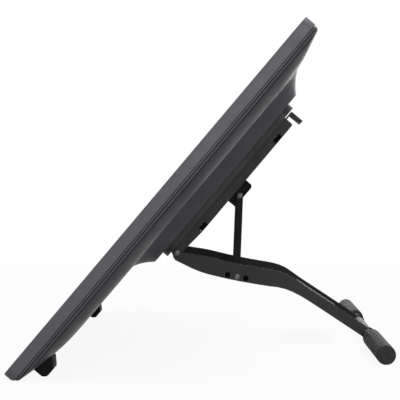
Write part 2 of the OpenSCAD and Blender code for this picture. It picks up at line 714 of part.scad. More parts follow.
module carriage_pin() {
  color([0.62, 0.62, 0.62]) translate([0, car_y, car_z]) {
    bar(pivot_r, -pin_x - head_t, pin_x + head_t);
    for (s = [-1, 1]) bar(head_r, s > 0 ? pin_x : -pin_x - head_t, s > 0 ? pin_x + head_t : -pin_x);
  }
}
// one side plate of the strut, stepped outward below its neck
module strut_plate() {
  d = strut_d / 2;
  yz(neck_x, neck_x + strut_t) {
    circle(d + 0.4);
    translate([0, -d]) square([19, strut_d]);
  }
  translate([0, 0, -d]) linear_extrude(strut_d) polygon([[neck_x, 14], [neck_x + strut_t, 14],
    [low_x + strut_t, 20], [low_x + strut_t, 22], [low_x, 22], [neck_x, 16]]);
  yz(low_x, low_x + strut_t) {
    translate([20, -d]) square([strut_len - 20, strut_d]);
    translate([strut_len, 0]) circle(d + 0.4);
  }
}
module strut() {
  d = strut_d / 2;
  color([0.15, 0.15, 0.16]) on_strut() difference() {
    union() {
      strut_plate();
      mirror([1, 0, 0]) strut_plate();
      translate([-low_x - eps, 26, d - strut_t]) cube([2 * low_x + 2 * eps, strut_len - 38, strut_t]);
    }
    bar(pivot_r + eps, -low_x - 9, low_x + 9);
    translate([0, strut_len, 0]) bar(pivot_r + run, -low_x - 9, low_x + 9);
    translate([-low_x + 6, 33, -strut_d]) cube([2 * low_x - 12, strut_len - 52, 2 * strut_d]);
  }
}
module strut_pin() {
  color([0.60, 0.60, 0.60]) on_leg() translate([0, pivot_s, pivot_h]) {
    bar(pivot_r, -arm_out - head_t, arm_out + head_t);
    for (s = [-1, 1]) bar(head_r, s > 0 ? arm_out : -arm_out - head_t, s > 0 ? arm_out + head_t : -arm_out);
  }
}
// side outline of the leg: hinge eye, upper arm, bend, lower arm, tube eye
module leg_outline() {
  eye = hinge_v - pad_v - fit;
  st = [for (k = [0:26]) 4 + (leg_len - 4) * k / 26];
  circle(eye);
  polygon(concat([[0, eye]], [for (s = st) [s, leg_mid(s) + leg_d(s) / 2]],
    [for (k = [26:-1:0]) [st[k], leg_mid(st[k]) - leg_d(st[k]) / 2]],
    [[1.4, -6.5], [-1, -5], [-3, -2]]));
  translate([leg_len, 0]) circle(toe_d / 2 + 1.2);
}
// places a piece at one of the spare holes beside the lower pivot
module spare(s) { translate([0, pivot_s + s * spare_s, pivot_h + s * spare_s * 0.21]) children(); }
module leg_plugs() {
  color([0.03, 0.03, 0.03]) on_leg() for (s = [-1, 1], x = [arm_in + 0.1, -arm_out + 0.5])
    spare(s) bar(plug_r - 0.02, x, x + leg_t - 0.6);
}
module leg() {
  color([0.20, 0.20, 0.21]) on_leg() difference() {
    union() {
      for (s = [-1, 1]) yz(s > 0 ? arm_in : -arm_out, s > 0 ? arm_out : -arm_in) leg_outline();
      translate([-arm_in - eps, 12, -3.6]) cube([2 * arm_in + 2 * eps, 12, web_t]);
      translate([0, web_s, leg_mid(web_s) + toe_d / 2 - web_drop]) rotate([toe_a, 0, 0])
        translate([-arm_in - eps, 0, -web_t]) cube([2 * arm_in + 2 * eps, web_len, web_t]);
    }
    bar(hinge_r + run, -arm_out - 9, arm_out + 9);
    translate([0, pivot_s, pivot_h]) bar(pivot_r + run, -arm_out - 9, arm_out + 9);
    for (s = [-1, 1]) spare(s) bar(plug_r, -arm_out - 9, arm_out + 9);
    translate([0, leg_len, 0]) bar(tube_r + run, -arm_out - 9, arm_out + 9);
  }
}
module hinge_pin() {
  color([0.62, 0.62, 0.62]) translate([0, hinge_y, hinge_z]) {
    bar(hinge_r, -arm_out - head_t, arm_out + head_t);
    for (s = [-1, 1]) bar(head_r, s > 0 ? arm_out : -arm_out - head_t, s > 0 ? arm_out + head_t : -arm_out);
  }
}
module cross_tube() {
  color([0.45, 0.45, 0.46]) on_leg() translate([0, leg_len, 0]) difference() {
    bar(tube_r, -tube_x, tube_x);
    bar(tube_r - 1.2, -tube_x - 1, tube_x + 1);
  }
}
// one rubber sleeve with a closed outer end and a worn flat
module sleeve(s) {
  color([0.18, 0.18, 0.19]) standing() on_leg() translate([0, leg_len, 0]) mirror([s < 0 ? 1 : 0, 0, 0])
    difference() {
      bar(sleeve_r, tube_x + sleeve_end - sleeve_len, tube_x + sleeve_end);
      bar(tube_r + run, tube_x + sleeve_end - sleeve_len - 1, tube_x + run);
    }
}
module sleeve_left() { sleeve(-1); }
module sleeve_right() { sleeve(1); }

front_glass();
front_frame();
lcd_panel();
backlight_tray();
digitizer_board();
mid_frame();
rear_cover();
main_board();
shield_can();
hdmi_port();
usb_port();
power_jack();
key_board();
power_button();
menu_key();
plus_key();
minus_key();
cover_screws();
foot_left();
foot_right();
stand_pad();
mount_screws();
stand_channel();
channel_cover();
lock_rail_left();
lock_rail_right();
release_lever();
lever_spring();
carriage();
carriage_pin();
strut();
strut_pin();
leg();
leg_plugs();
hinge_pin();
cross_tube();
sleeve_left();
sleeve_right();
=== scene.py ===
# Pen display on a fold-out stand: its finishes, its detailed pieces, the studio and the camera.
import json
import math
import bmesh
import bpy
from mathutils import Matrix, Vector


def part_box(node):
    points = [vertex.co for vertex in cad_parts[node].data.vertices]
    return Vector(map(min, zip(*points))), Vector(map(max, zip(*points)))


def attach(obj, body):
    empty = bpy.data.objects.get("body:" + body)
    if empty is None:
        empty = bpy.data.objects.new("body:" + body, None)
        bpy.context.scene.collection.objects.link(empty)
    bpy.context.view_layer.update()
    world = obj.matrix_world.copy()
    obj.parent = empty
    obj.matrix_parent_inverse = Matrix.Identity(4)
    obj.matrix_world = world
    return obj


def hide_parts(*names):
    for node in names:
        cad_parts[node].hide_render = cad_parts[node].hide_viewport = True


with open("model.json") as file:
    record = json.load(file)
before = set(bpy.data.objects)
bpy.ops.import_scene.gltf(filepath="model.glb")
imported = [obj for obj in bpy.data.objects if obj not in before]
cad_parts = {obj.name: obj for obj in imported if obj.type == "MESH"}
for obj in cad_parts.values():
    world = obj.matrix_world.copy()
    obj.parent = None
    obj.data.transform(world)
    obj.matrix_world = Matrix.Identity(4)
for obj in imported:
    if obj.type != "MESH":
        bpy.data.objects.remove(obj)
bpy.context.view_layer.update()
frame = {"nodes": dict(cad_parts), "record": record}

scene = bpy.context.scene
nodes = frame["nodes"]

# Sizes in millimetres. U runs up the screen, V from the screen's face to the back.
TILT = math.radians(48.7)
BODY_W, BODY_H, CORNER_R = 570.0, 337.6, 8.0
FRAME_V, SEAM_H, SEAM_IN, MID_T = 8.9, 0.7, 1.4, 0.8
RIM_W, GLASS_T, LEDGE_T, LEDGE_W, FRAME_WALL = 1.6, 1.8, 1.4, 6.0, 3.0
LIP_H, CROWN_H, CROWN_SIDE, CROWN_LOW, CROWN_TOP = 1.7, 7.7, 33.0, 44.0, 42.0
LIP_LOW, LIP_TOP, COVER_LOW, WALL = 9.5, 2.2, 3.0, 2.2
BULGE_X, BULGE_U0, BULGE_U1, BULGE_H, BULGE_R, COVE_R = 150.0, 122.4, 298.4, 11.4, 24.0, 45.0
COVE_TOP, COVE_FOOT, COVE_SINK, COVE_OUT = math.radians(50), math.radians(30), 6.4, 26.0
CROWN_START, EDGE_IN, LIP_IN = 0.02, 0.6, 0.3
BAY_X, BAY_U, BAY_LEN, PORT_PITCH = 146.0, 210.3, 62.0, 19.0
BOARD_DROP, BOARD_T, PORT_RISE = 7.2, 1.6, 2.65
SOCKET_MOUTHS = ((15.4, 5.4), (9.4, 3.7), (9.9, 5.6))
COVER_SCREWS = ((-205, 80), (205, 80), (-205, 262.6), (205, 262.6), (-70, 71.4), (70, 71.4))
SCREW_HEAD_R, SCREW_R, SCREW_SINK = 2.7, 1.3, 1.6
KEY_X, KEY_PITCH, KEY_W, KEY_H, KEY_FIT = 200.0, 20.0, 12.0, 3.0, 0.3
HINGE_U, HINGE_V, LEG_LEN, ARM_OUT = 135.7, 41.2, 175.8, 60.0
PIVOT_S, PIVOT_H, STRUT_OUT = 54.5, 1.1, 20.6
PIN_R, HEAD_R, HEAD_T = 2.0, 2.9, 1.2
TUBE_R, TUBE_X, SLEEVE_R, SLEEVE_LEN, SLEEVE_END, FLAT = 4.5, 222.0, 7.5, 133.0, 3.0, 0.3
FOOT_X, FOOT_LEN, FOOT_U0, FOOT_U1, FOOT_V, FOOT_R = 246.0, 30.0, 13.7, 29.3, 25.0, 4.2
RIBS, RIB_R = 30, 0.55
SCREEN_W, SCREEN_H = 476.6, 268.1

# The photograph's camera: eye, roll, lens, and the view's centre off the middle of the picture
EYE_X, EYE_U, EYE_V, ROLL = 1560.0, 220.7, 22.05, math.radians(1.07)
LENS_MM, SENSOR_MM, PICTURE_PX, SHIFT_RIGHT_PX, SHIFT_UP_PX = 160.3, 36.0, 400, 24.4, 39.2

MID_V = FRAME_V + SEAM_H
MID_BACK = MID_V + MID_T
COVER_V = MID_BACK + SEAM_H
LIP_V = COVER_V + LIP_H
FLAT_V = LIP_V + CROWN_H
BULGE_V = FLAT_V + BULGE_H
PORT_V = BULGE_V - WALL - BOARD_DROP + BOARD_T + PORT_RISE
KEY_V = GLASS_T + LEDGE_T + (MID_V - GLASS_T - LEDGE_T) / 2 - 0.2


def rearward(u, v):
    """Distance to the rear of a point of the display, from its lower front edge."""
    return u * math.cos(TILT) + v * math.sin(TILT)


def upward(u, v):
    """Height of a point of the display above its lower front edge."""
    return u * math.sin(TILT) - v * math.cos(TILT)


SLAB_Z = FOOT_R - FLAT - upward(FOOT_U0 + FOOT_R, FOOT_V - FOOT_R)
HINGE_Z = SLAB_Z + upward(HINGE_U, HINGE_V)
LEG_DROP = math.asin((HINGE_Z - SLEEVE_R + FLAT) / LEG_LEN)
SLAB_Y = -(rearward(HINGE_U, HINGE_V) + LEG_LEN * math.cos(LEG_DROP) + SLEEVE_R) / 2
HINGE_Y = SLAB_Y + rearward(HINGE_U, HINGE_V)


def on_slab(x, u, v):
    """A point of the display in the part's frame, in metres."""
    return Vector((x, SLAB_Y + rearward(u, v), SLAB_Z + upward(u, v))) / 1000


def on_leg(x, along, up):
    """A point of the leg, from the hinge along the line to the cross tube."""
    c, s = math.cos(LEG_DROP), math.sin(LEG_DROP)
    return Vector((x, HINGE_Y + along * c + up * s, HINGE_Z - along * s + up * c)) / 1000


# Meshes

def rounded_outline(half_w, u0, u1, r, seg=12, along=0):
    """Points (x, u) of a rounded rectangle, with extra points along its straight sides."""
    corners = ((half_w - r, u1 - r), (r - half_w, u1 - r), (r - half_w, u0 + r), (half_w - r, u0 + r))
    points = []
    for q, (cx, cu) in enumerate(corners):
        points += [Vector((cx + r * math.cos(a), cu + r * math.sin(a)))
                   for a in (math.radians(90 * q + 90 * k / seg) for k in range(seg + 1))]
        end, side = points[-1], math.radians(90 * q + 90)
        start = Vector(corners[(q + 1) % 4]) + r * Vector((math.cos(side), math.sin(side)))
        points += [end.lerp(start, (k + 1) / (along + 1)) for k in range(along)]
    return points


def rounded_ring(half_w, u0, u1, r, v, seg=12, along=0):
    """A rounded rectangle at one depth of the display."""
    return [on_slab(x, u, v) for x, u in rounded_outline(half_w, u0, u1, r, seg, along)]


def inset_ring(d, v, seg=12, along=0):
    """The display's outline drawn in by a distance on every side."""
    return rounded_ring(BODY_W / 2 - d, d, BODY_H - d, max(CORNER_R - d, 0.5), v, seg, along)


def skin(rings, tube=False):
    """A closed mesh through a stack of rings: capped at both ends, or joined end to end as a tube."""
    bm = bmesh.new()
    rows = [[bm.verts.new(p) for p in ring] for ring in rings]
    pairs = list(zip(rows, rows[1:])) + ([(rows[-1], rows[0])] if tube else [])
    for a, b in pairs:
        for k in range(len(a)):
            j = (k + 1) % len(a)
            bm.faces.new((a[k], a[j], b[j], b[k]))
    if not tube:
        bm.faces.new(rows[0][::-1])
        bm.faces.new(rows[-1])
    bmesh.ops.recalc_face_normals(bm, faces=bm.faces)
    return bm


def slab_box(x0, x1, u0, u1, v0, v1):
    """A plain cutter, square to the display."""
    return skin([[on_slab(x, u, v) for x, u in ((x0, u0), (x1, u0), (x1, u1), (x0, u1))] for v in (v0, v1)])


def lathe(profile, centre, axis_turn, seg=48):
    """A closed turned shape: profile is (distance along the axis, radius), the ends on the axis."""
    bm = bmesh.new()
    place = Matrix.Translation(centre) @ axis_turn
    angles = [2 * math.pi * k / seg for k in range(seg)]
    rows = [[bm.verts.new(place @ (Vector((r * math.cos(a), r * math.sin(a), s)) / 1000)) for a in angles]
            for s, r in profile]
    for a, b in zip(rows, rows[1:]):
        for k in range(seg):
            j = (k + 1) % seg
            bm.faces.new((a[k], a[j], b[j], b[k]))
    bm.faces.new(rows[0][::-1])
    bm.faces.new(rows[-1])
    bmesh.ops.recalc_face_normals(bm, faces=bm.faces)
    return bm


ALONG_X = Matrix.Rotation(math.radians(90), 4, "Y")
INTO_BACK = Matrix.Rotation(TILT, 4, "X")


def new_object(name, bm):
    """An object at the origin with this mesh."""
    mesh = bpy.data.meshes.new(name)
    bm.to_mesh(mesh)
    bm.free()
    obj = bpy.data.objects.new(name, mesh)
    scene.collection.objects.link(obj)
    return obj


def flatten_modifiers(obj):
    """Turns what the object shows into its own plain mesh."""
    bpy.context.view_layer.update()
    mesh = bpy.data.meshes.new_from_object(obj.evaluated_get(bpy.context.evaluated_depsgraph_get()))
    obj.modifiers.clear()
    old, obj.data = obj.data, mesh
    bpy.data.meshes.remove(old)


def carve(obj, bm, operation="DIFFERENCE"):
    """Cuts a closed shape out of a piece, or joins it on."""
    tool = new_object("cutter", bm)
    mod = obj.modifiers.new("carve", "BOOLEAN")
    mod.operation, mod.solver, mod.object = operation, "EXACT", tool
    flatten_modifiers(obj)
    mesh = tool.data
    bpy.data.objects.remove(tool)
    bpy.data.meshes.remove(mesh)


def stand_flat(obj):
    """Takes off what would lie below the surface that the part stands on."""
    below = bmesh.new()
    bmesh.ops.create_cube(below, size=1.0)
    bmesh.ops.translate(below, verts=below.verts, vec=(0, 0, -0.5))
    carve(obj, below)


def press_flat(obj):
    """Moves what would lie below that surface up to it."""
    for v in obj.data.vertices:
        v.co.z = max(v.co.z, 0.0)


def smooth(obj, degrees):
    """Smooth shading that stays sharp at edges over an angle."""
    for p in obj.data.polygons:
        p.use_smooth = True
    obj.data.set_sharp_from_angle(angle=math.radians(degrees))


def piece(obj, material, body, slot, *stands_for):
    """Finishes a piece: material, body and the nodes that it stands for. The slot argument is not used."""
    obj.data.materials.clear()
    obj.data.materials.append(material)
    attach(obj, body)
    if stands_for:
        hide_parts(*stands_for)


# Materials

class Finish:
    """A Principled material on Object coordinates, with short calls for its pattern nodes."""

    def __init__(self, name, rough=0.5, metallic=0.0, specular=0.5):
        self.mat = bpy.data.materials.new(name)
        self.mat.use_nodes = True
        self.tree = self.mat.node_tree
        self.bsdf = self.tree.nodes["Principled BSDF"]
        self.bsdf.inputs["Roughness"].default_value = rough
        self.bsdf.inputs["Metallic"].default_value = metallic
        self.bsdf.inputs["Specular IOR Level"].default_value = specular
        self.coords = self.tree.nodes.new("ShaderNodeTexCoord").outputs["Object"]

    def node(self, kind, **settings):
        n = self.tree.nodes.new(kind)
        for key, value in settings.items():
            setattr(n, key, value)
        return n

    def link(self, a, b):
        self.tree.links.new(a, b)

    def mapped(self, location=(0, 0, 0), rotation=(0, 0, 0), scale=(1, 1, 1)):
        n = self.node("ShaderNodeMapping")
        n.inputs["Location"].default_value = location
        n.inputs["Rotation"].default_value = rotation
        n.inputs["Scale"].default_value = scale
        self.link(self.coords, n.inputs["Vector"])
        return n.outputs["Vector"]

    def noise(self, size_mm, detail=3.0, roughness=0.5, vector=None):
        n = self.node("ShaderNodeTexNoise")
        n.inputs["Scale"].default_value = 1000.0 / size_mm
        n.inputs["Detail"].default_value = detail
        n.inputs["Roughness"].default_value = roughness
        self.link(vector or self.coords, n.inputs["Vector"])
        return n.outputs["Fac"]

    def grains(self, size_mm):
        n = self.node("ShaderNodeTexVoronoi", feature="SMOOTH_F1")
        n.inputs["Scale"].default_value = 1000.0 / size_mm
        self.link(self.coords, n.inputs["Vector"])
        return n.outputs["Distance"]

    def spread(self, value, lo, hi, start=0.3, end=0.7):
        n = self.node("ShaderNodeMapRange")
        for key, number in zip(("From Min", "From Max", "To Min", "To Max"), (start, end, lo, hi)):
            n.inputs[key].default_value = number
        self.link(value, n.inputs["Value"])
        return n.outputs["Result"]

    def math(self, operation, a, b):
        n = self.node("ShaderNodeMath", operation=operation)
        for socket, value in zip(n.inputs, (a, b)):
            if isinstance(value, (int, float)):
                socket.default_value = value
            else:
                self.link(value, socket)
        return n.outputs["Value"]

    def mix(self, factor, a, b):
        n = self.node("ShaderNodeMix", data_type="RGBA")
        self.link(factor, n.inputs["Factor"])
        for socket, value in ((n.inputs[6], a), (n.inputs[7], b)):
            if isinstance(value, tuple):
                socket.default_value = (*value, 1.0)
            else:
                self.link(value, socket)
        return n.outputs[2]

    def edges(self, radius_mm):
        """1 along outside corners, 0 on open faces."""
        soft = self.node("ShaderNodeBevel", samples=6)
        soft.inputs["Radius"].default_value = radius_mm / 1000
        geometry = self.node("ShaderNodeNewGeometry")
        dot = self.node("ShaderNodeVectorMath", operation="DOT_PRODUCT")
        self.link(soft.outputs["Normal"], dot.inputs[0])
        self.link(geometry.outputs["Normal"], dot.inputs[1])
        return self.spread(self.math("SUBTRACT", 1.0, dot.outputs["Value"]), 0.0, 1.0, 0.02, 0.22)

    def depth(self):
        """Depth behind the screen's face, in millimetres."""
        dot = self.node("ShaderNodeVectorMath", operation="DOT_PRODUCT")
        self.link(self.coords, dot.inputs[0])
        back = Vector((0, math.sin(TILT), -math.cos(TILT)))
        dot.inputs[1].default_value = back * 1000
        return self.math("SUBTRACT", dot.outputs["Value"], back.dot(on_slab(0, 0, 0)) * 1000)

    def colour(self, value):
        self.link(value, self.bsdf.inputs["Base Color"])

    def rough(self, value):
        self.link(value, self.bsdf.inputs["Roughness"])

    def bump(self, height, depth_mm, strength=1.0):
        n = self.node("ShaderNodeBump")
        n.inputs["Strength"].default_value = strength
        n.inputs["Distance"].default_value = depth_mm / 1000
        self.link(height, n.inputs["Height"])
        self.link(n.outputs["Normal"], self.bsdf.inputs["Normal"])


def shade(colour, k):
    """A colour made lighter or darker."""
    return tuple(c * k for c in colour)


def textured(name, colour, rough, grain_mm, depth_mm, wear=0.0, drift=0.10, specular=0.5, seam=None, rim_shade=None,
             inside=None):
    """Moulded or painted surface with a fine grain, slow tone drift and slightly worn edges.

    A seam is a range of depth painted dark as the shade inside a groove, and the rim range is painted shade that
    darkens toward its start. The inside is the share of colour on faces toward the middle, painted shade on those
    inner faces.
    """
    f = Finish(name, rough, specular=specular)
    grain = f.grains(grain_mm)
    tone = f.mix(f.spread(f.noise(60, 4), 0.0, 1.0), shade(colour, 1 - drift), shade(colour, 1 + drift))
    tone = f.mix(f.spread(grain, 0.0, 0.35, 0.1, 0.8), tone, shade(colour, 0.72))
    if wear:
        worn = f.math("MULTIPLY", f.edges(0.5), f.spread(f.noise(5, 4), 0.25, 1.0))
        tone = f.mix(f.math("MULTIPLY", worn, wear), tone, shade(colour, 3.0))
    depth = f.depth() if seam or rim_shade else None
    # Painted shade: the seam's range of depth is drawn at an eighth of the colour, as the shade in the groove.
    if seam:
        groove = f.math("MULTIPLY", f.math("GREATER_THAN", depth, seam[0]),
                        f.math("LESS_THAN", depth, seam[1]))
        tone = f.mix(groove, tone, shade(colour, 0.12))
    # Painted shade: darkest just behind the lip and fading out by the end of the range.
    if rim_shade:
        behind = f.math("GREATER_THAN", depth, rim_shade[0] - 0.15)
        tone = f.mix(f.math("MULTIPLY", f.spread(depth, 0.75, 0.0, *rim_shade), behind), tone, shade(colour, 0.1))
    # Painted shade: faces that look toward the middle, such as a flange's inner side, are drawn darker.
    if inside:
        place, facing = f.node("ShaderNodeSeparateXYZ"), f.node("ShaderNodeSeparateXYZ")
        f.link(f.coords, place.inputs[0])
        f.link(f.node("ShaderNodeTexCoord").outputs["Normal"], facing.inputs[0])
        inner_face_shade = f.math("LESS_THAN", f.math("MULTIPLY", place.outputs["X"], facing.outputs["X"]), -0.01)
        tone = f.mix(inner_face_shade, tone, shade(colour, inside))
    f.colour(tone)
    f.rough(f.spread(f.noise(14, 5, 0.6), rough - 0.06, rough + 0.08))
    f.bump(f.math("ADD", grain, f.math("MULTIPLY", f.noise(grain_mm * 2.5, 2), 0.5)), depth_mm, 0.6)
    return f.mat


def rubber(name, colour, specular):
    """Matt moulded rubber with a fine grain and a little dust."""
    f = Finish(name, 0.78, specular=specular)
    dust = f.spread(f.noise(9, 6, 0.65), 0.0, 0.5, 0.45, 0.8)
    f.colour(f.mix(dust, colour, shade(colour, 1.7)))
    f.rough(f.spread(f.noise(3, 4), 0.68, 0.88))
    f.bump(f.noise(0.35, 4, 0.6), 0.05, 0.7)
    return f.mat


def drawn_rubber(name, colour, specular):
    """Extruded rubber: every mark runs along the width."""
    f = Finish(name, 0.6, specular=specular)
    along = f.mapped(scale=(0.004, 1, 1))
    f.colour(f.mix(f.spread(f.noise(1.6, 3, 0.6, along), 0.0, 1.0), shade(colour, 0.75), shade(colour, 1.3)))
    f.rough(f.spread(f.noise(2.5, 3, 0.5, along), 0.54, 0.66))
    return f.mat


def metal(name, colour, rough, stretch=(1, 1, 40)):
    """Plated or drawn metal with fine marks in one direction."""
    f = Finish(name, rough, metallic=1.0)
    marks = f.noise(0.8, 4, 0.6, f.mapped(scale=stretch))
    f.colour(f.mix(f.spread(f.noise(6, 4), 0.0, 1.0), shade(colour, 0.88), colour))
    f.rough(f.spread(marks, rough - 0.08, rough + 0.12))
    f.bump(marks, 0.02, 0.35)
    return f.mat


def etched_glass():
    """Dark cover glass with a black border and the sleeping picture area."""
    f = Finish("etched_glass", 0.3, specular=0.25)
    centre = on_slab(0, BODY_H / 2, 0)
    turn = Matrix.Rotation(-TILT, 3, "X")
    flat = f.mapped(location=-(turn @ centre), rotation=(-TILT, 0, 0))
    axes = f.node("ShaderNodeSeparateXYZ")
    f.link(flat, axes.inputs[0])
    across = f.math("LESS_THAN", f.math("ABSOLUTE", axes.outputs["X"], 0), SCREEN_W / 2000)
    along = f.math("LESS_THAN", f.math("ABSOLUTE", axes.outputs["Y"], 0), SCREEN_H / 2000)
    picture = f.math("MULTIPLY", across, along)
    panel = f.mix(f.spread(f.noise(180, 2), 0.0, 1.0), (0.017, 0.018, 0.021), (0.020, 0.021, 0.025))
    f.colour(f.mix(picture, (0.003, 0.003, 0.0035), panel))
    f.rough(f.spread(f.noise(120, 2, 0.4), 0.295, 0.31))
    return f.mat


def circuit():
    """Green board with a pattern of traces."""
    f = Finish("circuit_board", 0.45)
    traces = f.grains(2.2)
    f.colour(f.mix(f.spread(traces, 0.0, 1.0, 0.2, 0.5), (0.02, 0.10, 0.045), (0.03, 0.16, 0.07)))
    f.bump(traces, 0.05, 0.4)
    return f.mat


BAND_GREY = (0.122, 0.121, 0.138)
COVER_GREY = (0.120, 0.120, 0.133)
STAND_BLACK = (0.036, 0.036, 0.038)
LEG_GREY = (0.066, 0.066, 0.068)
finishes = {
    "cover_glass": etched_glass(),
    # The band's seam range is painted groove shade.
    "frame_paint": textured("band_paint", BAND_GREY, 0.46, 0.30, 0.020, wear=0.25, drift=0.05, specular=0.25,
                            seam=(FRAME_V - 0.02, MID_V + 0.02)),
    # The cover's seam range is painted groove shade, and its rim range is painted shade just behind the lip.
    "cover_plastic": textured("cover_plastic", COVER_GREY, 0.38, 0.45, 0.008, wear=0.10, drift=0.06, specular=0.03,
                              seam=(0.0, COVER_V + 0.02), rim_shade=(LIP_V, LIP_V + 7.0)),
    "stand_paint": textured("stand_powder_coat", STAND_BLACK, 0.50, 0.40, 0.035, wear=0.35, specular=0.15),
    # The leg's inside share is painted shade on the inner faces of its flanges.
    "leg_paint": textured("leg_powder_coat", LEG_GREY, 0.55, 0.40, 0.020, wear=0.35, specular=0.02, inside=0.45),
    "black_plastic": textured("black_plastic", (0.034, 0.034, 0.036), 0.45, 0.35, 0.025, wear=0.12, specular=0.2),
    "key_plastic": textured("key_plastic", (0.10, 0.10, 0.112), 0.42, 0.30, 0.015, wear=0.3),
    "foot_rubber": rubber("foot_rubber", (0.008, 0.008, 0.0083), 0.08),
    "sleeve_rubber": drawn_rubber("sleeve_rubber", (0.050, 0.050, 0.051), 0.025),
    "tube_metal": textured("tube_paint", (0.19, 0.19, 0.195), 0.45, 0.35, 0.010, wear=0.2, specular=0.02),
    "pin_steel": metal("pin_steel", (0.10, 0.10, 0.10), 0.5),
    "screw_steel": textured("screw_black", (0.03, 0.03, 0.03), 0.35, 0.25, 0.01, wear=0.4),
    "socket_metal": metal("socket_plate", (0.62, 0.62, 0.61), 0.28, (40, 1, 1)),
    "tray_metal": metal("tray_sheet", (0.66, 0.67, 0.68), 0.35, (1, 40, 40)),
    "panel": textured("panel_layers", (0.03, 0.03, 0.033), 0.35, 0.6, 0.005),
    "circuit": circuit(),
}

# Carried-over nodes: each one takes its own finish or that of its slot, and rounded or split edges

slot_of = {s["node"]: s["material_slot"] for s in frame["record"]["subparts"]}
# Near-black painted shade: the leg's plugs show as dark holes, and the channel cover's clips show as dark recesses.
hole_shade_black = textured("hole_shade_black", (0.003, 0.003, 0.0032), 0.8, 0.35, 0.02, specular=0.05)
own_finish = {"leg_plugs": hole_shade_black, "channel_cover": hole_shade_black,
              "mid_frame": textured("inner_band", BAND_GREY, 0.5, 0.30, 0.015, specular=0.25),
              "carriage": textured("carriage_coat", (0.014, 0.014, 0.0145), 0.5, 0.40, 0.03, wear=0.3,
                                   specular=0.03),
              "strut": textured("strut_coat", (0.010, 0.010, 0.0104), 0.48, 0.40, 0.03, wear=0.3,
                                specular=0.06)}
EDGE_MM = {"leg": 0.45, "strut": 0.4, "carriage": 0.6, "stand_channel": 0.4, "channel_cover": 0.3, "stand_pad": 1.0,
           "release_lever": 0.35, "cross_tube": 0.4, "power_button": 0.3, "menu_key": 0.3, "plus_key": 0.3,
           "minus_key": 0.3, "hdmi_port": 0.12, "usb_port": 0.12, "power_jack": 0.2, "cover_screws": 0.12}
for name, obj in nodes.items():
    obj.data.materials.clear()
    obj.data.materials.append(own_finish.get(name) or finishes[slot_of[name]])
    obj.modifiers.new("weld", "WELD").merge_threshold = 1e-6
    if name in EDGE_MM:
        flats = obj.modifiers.new("flats", "DECIMATE")
        flats.decimate_type, flats.angle_limit = "DISSOLVE", math.radians(0.4)
        edge = obj.modifiers.new("edge", "BEVEL")
        edge.width, edge.segments, edge.limit_method = EDGE_MM[name] / 1000, 3, "ANGLE"
        edge.angle_limit, edge.use_clamp_overlap = math.radians(38), True
    else:
        crease = obj.modifiers.new("crease", "EDGE_SPLIT")
        crease.split_angle = math.radians(35)
    obj.data.shade_smooth()
    keep = obj.modifiers.new("shading", "WEIGHTED_NORMAL")
    keep.keep_sharp = True

# Rear cover: crowned shell with the raised middle, the socket bay and the screw holes


def cover_sides(side, low, top, r):
    """A rounded rectangle from how far it lies inside the casing's edges."""
    return BODY_W / 2 - side, low, BODY_H - top, r


def crown_sides(t, d=0.0):
    """Sides of the crown's outline, from the lip (0) to its flat top (1)."""
    return cover_sides(EDGE_IN + CROWN_SIDE * t + d, LIP_LOW + CROWN_LOW * t + d, LIP_TOP + CROWN_TOP * t + d,
                       CORNER_R + 20 * t)


def crown_depth(t):
    """Depth of the crown at a share of its way from the lip to its flat top."""
    return LIP_V + CROWN_H * math.sin(math.pi / 2 * t)


def edge_rings(along=0):
    """The cover's edge: the seam's groove, then the lip."""
    def lip(side, v):
        part = (v - COVER_V) / LIP_H
        return rounded_ring(*cover_sides(side, COVER_LOW + (LIP_LOW - COVER_LOW) * part,
                                         LIP_IN + (LIP_TOP - LIP_IN) * part, CORNER_R), v, along=along)
    return [inset_ring(SEAM_IN, MID_BACK, along=along), inset_ring(SEAM_IN, COVER_V, along=along),
            rounded_ring(*cover_sides(0.7, COVER_LOW + 0.1, 0.7, CORNER_R), COVER_V, along=along),
            lip(0.36, COVER_V + 0.3), lip(0.45, LIP_V - 0.7), lip(0.6, LIP_V - 0.3), lip(0.85, LIP_V - 0.1)]


def crown_rings(d, steps):
    """Rings of the crown from the lip to its flat top, drawn in by a distance."""
    return [rounded_ring(*crown_sides(t, d), crown_depth(t) - d)
            for t in (CROWN_START + (1 - CROWN_START) * k / steps for k in range(steps + 1))]


def crown_body():
    """The crowned back without the raised middle."""
    return skin(edge_rings() + crown_rings(0, 32))


def bulge_wall(edge_r=0.9):
    """Section of the raised middle's wall: (distance out from its edge, drop), from the foot to the top."""
    wall = [(COVE_R * (math.sin(COVE_TOP) - math.sin(a)), COVE_R * (math.cos(a) - math.cos(COVE_TOP)))
            for a in (math.radians(30 + 19 * k / 14) for k in range(15))]
    foot = BULGE_H + COVE_SINK
    wall.insert(0, (wall[0][0] + (foot - wall[0][1]) / math.tan(COVE_FOOT), foot))
    for k in range(7):
        a = COVE_TOP * (1 - k / 6)
        wall.append((edge_r * (math.sin(a) - math.tan(COVE_TOP / 2)), edge_r * (1 - math.cos(a))))
    return wall


def bulge_sides(s):
    """The raised middle's outline moved out by a distance."""
    return BULGE_X + s, BULGE_U0 - s, BULGE_U1 + s, BULGE_R + s


def bulge_body(d):
    """The raised middle as a closed shape, drawn in by a distance."""
    return skin([rounded_ring(*bulge_sides(s - d), BULGE_V - drop - d, 16) for s, drop in bulge_wall()])


def outside(sides, x, u):
    """Distance of a point from a rounded rectangle, negative inside it."""
    half_w, u0, u1, r = sides
    qx, qu = abs(x) - half_w + r, abs(u - (u0 + u1) / 2) - (u1 - u0) / 2 + r
    return math.hypot(max(qx, 0), max(qu, 0)) + min(max(qx, qu), 0) - r


